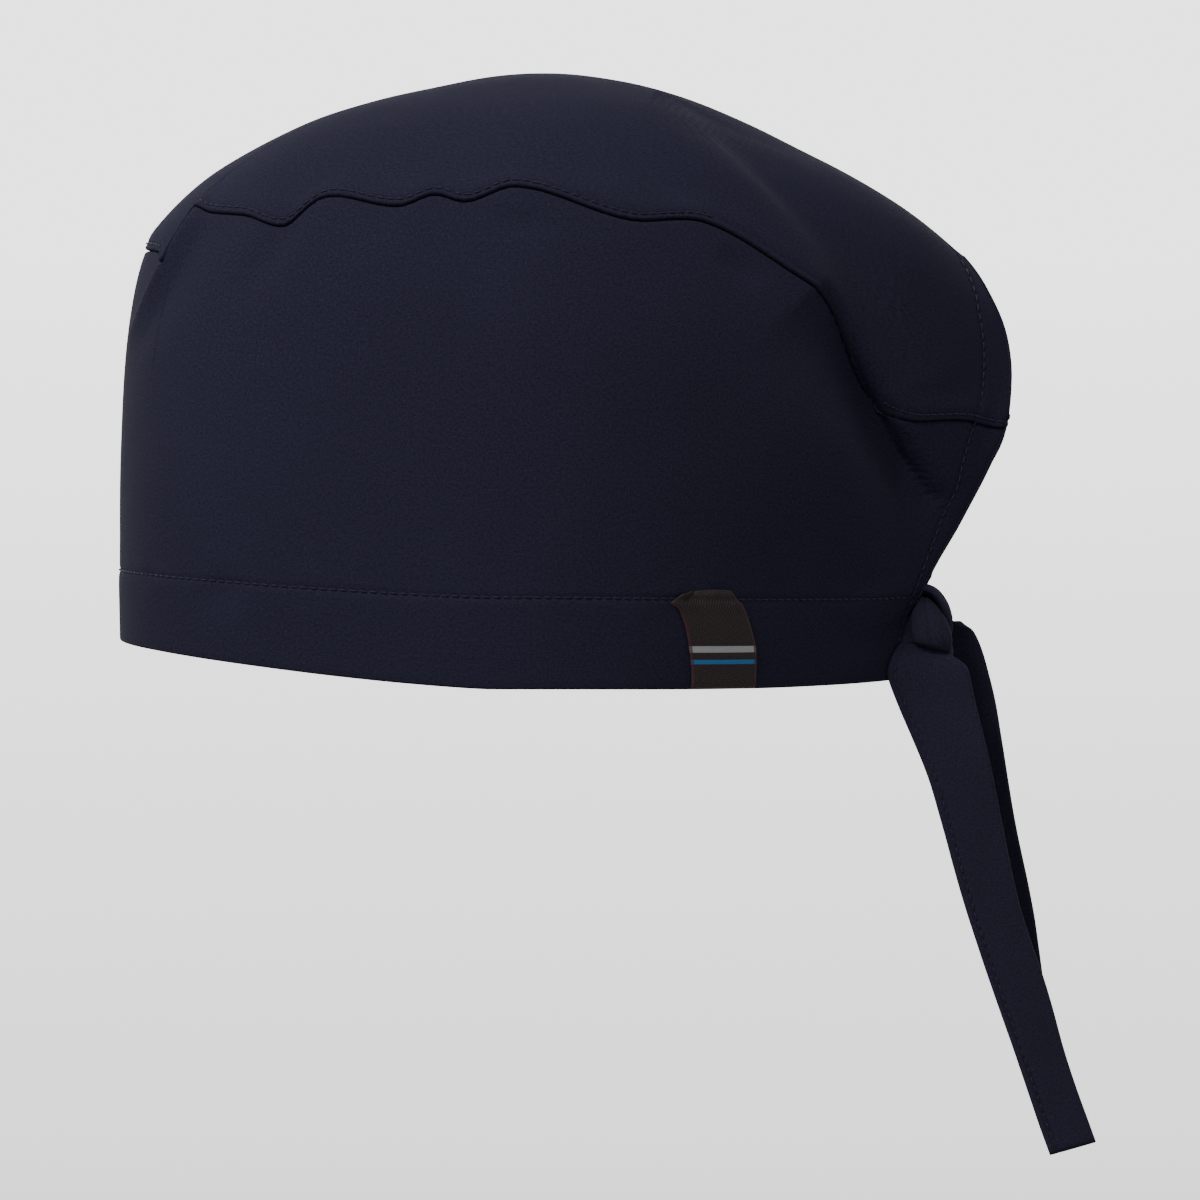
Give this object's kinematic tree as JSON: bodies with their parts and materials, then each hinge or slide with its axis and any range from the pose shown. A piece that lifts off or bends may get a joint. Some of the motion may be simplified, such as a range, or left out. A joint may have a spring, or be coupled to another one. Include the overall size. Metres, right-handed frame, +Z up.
{
  "type": "scrub cap",
  "caption": "Tie-back cloth surgical cap, worn shape: domed crown, deep side panel, stitched hem, slit nape drawn in by a knot with hanging ties.",
  "frame": {"origin": "in the middle of the head opening at the level of the rim, where a head enters the cap", "axes": "+Z up towards the top of the head, -Y towards the forehead, +Y towards the nape and the knot, +X towards the wearer's left"},
  "size_m": [0.158, 0.2715, 0.3018],
  "materials": {
    "navy_cloth": "matt woven poly-cotton",
    "navy_hem_cloth": "matt woven poly-cotton, double ply",
    "navy_tie_cloth": "matt woven poly-cotton, folded and stitched flat",
    "brown_woven_tag": "close twill-woven polyester tag"
  },
  "bodies": {
    "root": {"crown_panel": "navy_cloth", "side_panel": "navy_cloth", "hem_band": "navy_hem_cloth", "tie_left": "navy_tie_cloth", "tie_right": "navy_tie_cloth", "tie_knot": "navy_tie_cloth", "woven_label": "brown_woven_tag"}
  },
  "joints": []
}
